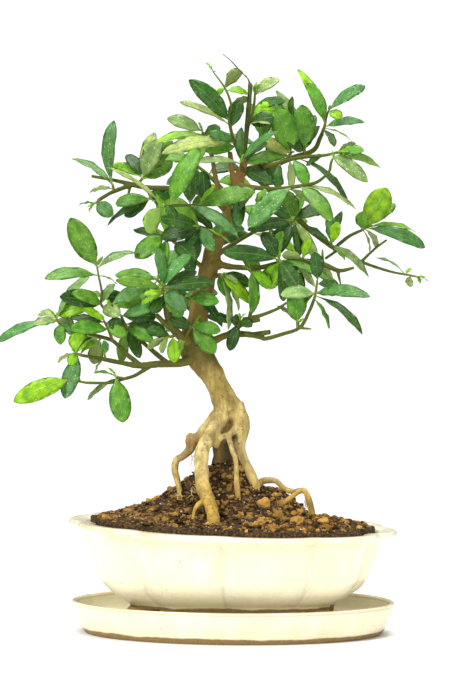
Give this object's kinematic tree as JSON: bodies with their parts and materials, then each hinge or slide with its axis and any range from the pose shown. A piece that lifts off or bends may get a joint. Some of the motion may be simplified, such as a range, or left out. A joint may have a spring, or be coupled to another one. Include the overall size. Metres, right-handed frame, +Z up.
{
  "type": "potted bonsai tree",
  "caption": "Small-leaved bonsai tree with exposed roots in a lobed oval glazed pot on an oval saucer, with soil mounded round the roots",
  "frame": {"origin": "centre of the saucer's flat underside, where it meets the table", "axes": "+Z up; +X along the pot's long axis, to the right seen from the tree's front; -Y to the front"},
  "size_m": [0.2755, 0.1726, 0.3899],
  "materials": {
    "saucer_glaze": "gloss cream glaze, bare brown foot band",
    "pot_glaze": "gloss cream glaze, bare brown underside and feet",
    "screen_plastic": "black plastic mesh",
    "compost": "moist dark compost with clay grains",
    "fired_grain": "matte fired clay grain",
    "bark": "smooth tan bark",
    "twig_bark": "olive brown twig bark",
    "leaf": "glossy green leaf, paler underneath"
  },
  "bodies": {
    "root": {"saucer": "saucer_glaze", "pot": "pot_glaze", "drain_screen_left": "screen_plastic", "drain_screen_right": "screen_plastic", "soil": "compost", "clay_grain_large": "fired_grain", "clay_grain_right": "fired_grain", "clay_grain_middle": "fired_grain", "trunk_and_roots": "bark", "branch_left_low": "twig_bark", "branch_left_stub": "twig_bark", "branch_upper_left": "twig_bark", "branch_right_low": "twig_bark", "branch_right_mid": "twig_bark", "branch_right_diagonal": "twig_bark", "branch_upper_right": "twig_bark", "shoot_far_left": "leaf", "shoot_left_bright": "leaf", "shoot_left_hanging": "leaf", "shoot_left_low_bright": "leaf", "shoot_left_mid": "leaf", "shoot_left_rosette": "leaf", "shoot_left_inner": "leaf", "shoot_stub_rosette": "leaf", "shoot_trunk_front": "leaf", "shoot_trunk_mid": "leaf", "shoot_stub_side": "leaf", "shoot_left_under": "leaf", "shoot_left_spur": "leaf", "shoot_upper_left_tip": "leaf", "shoot_upper_left_fork": "leaf", "shoot_upper_left_mid": "leaf", "shoot_upper_left_low": "leaf", "shoot_young_left": "leaf", "shoot_centre_left": "leaf", "shoot_mid_left": "leaf", "shoot_top_middle": "leaf", "shoot_top_left": "leaf", "shoot_top_right": "leaf", "shoot_stub_right": "leaf", "shoot_upper_right_big": "leaf", "shoot_upper_right_mid": "leaf", "shoot_upper_right_tip": "leaf", "shoot_young_right": "leaf", "shoot_hooked": "leaf", "shoot_diagonal_mid": "leaf", "shoot_diagonal_fork": "leaf", "shoot_right_pair": "leaf", "shoot_right_far": "leaf", "shoot_right_knot": "leaf", "shoot_right_bud": "leaf", "shoot_right_mid": "leaf", "shoot_right_outer": "leaf", "shoot_low_hanging": "leaf", "shoot_trunk_right": "leaf", "shoot_low_round": "leaf", "shoot_back_left": "leaf", "shoot_back_right": "leaf", "shoot_back_upper": "leaf", "shoot_back_high": "leaf"}
  },
  "joints": []
}
